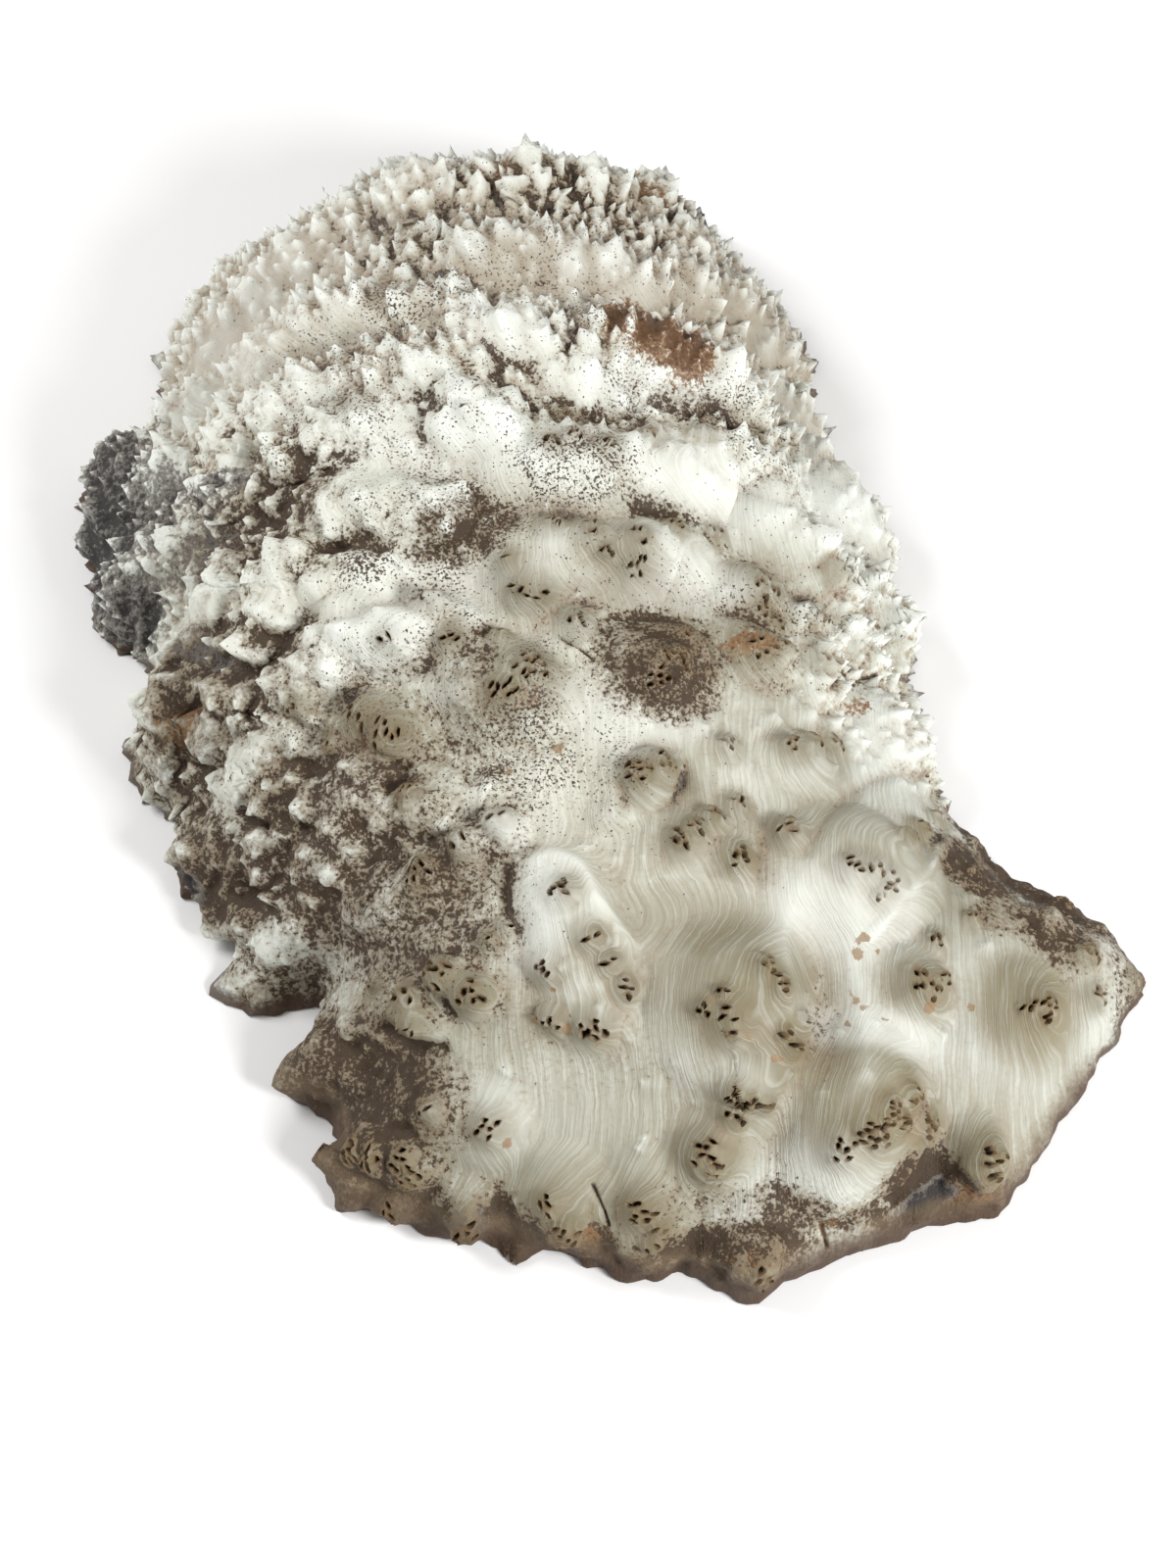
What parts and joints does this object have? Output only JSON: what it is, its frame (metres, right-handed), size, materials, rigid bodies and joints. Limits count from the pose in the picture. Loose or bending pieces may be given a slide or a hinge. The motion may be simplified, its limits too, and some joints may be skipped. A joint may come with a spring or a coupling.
{
  "type": "burl cap",
  "caption": "Natural slab of pale burl wood, a domed knobbly and spiky cap with a thin tongue on one side, sawn flat behind for display or for cutting up.",
  "frame": {"origin": "middle of the bounding box in plan, on the flat sawn back", "axes": "+X towards the thin tongue's side, +Y along the cap's length towards the far spiky shoulder, +Z out of the sawn back through the dome"},
  "size_m": [0.4365, 0.566, 0.1254],
  "materials": {
    "burl_wood": "natural, debarked and unsealed, matt with a faint waxy sheen"
  },
  "bodies": {
    "root": {"burl_cap": "burl_wood"}
  },
  "joints": []
}
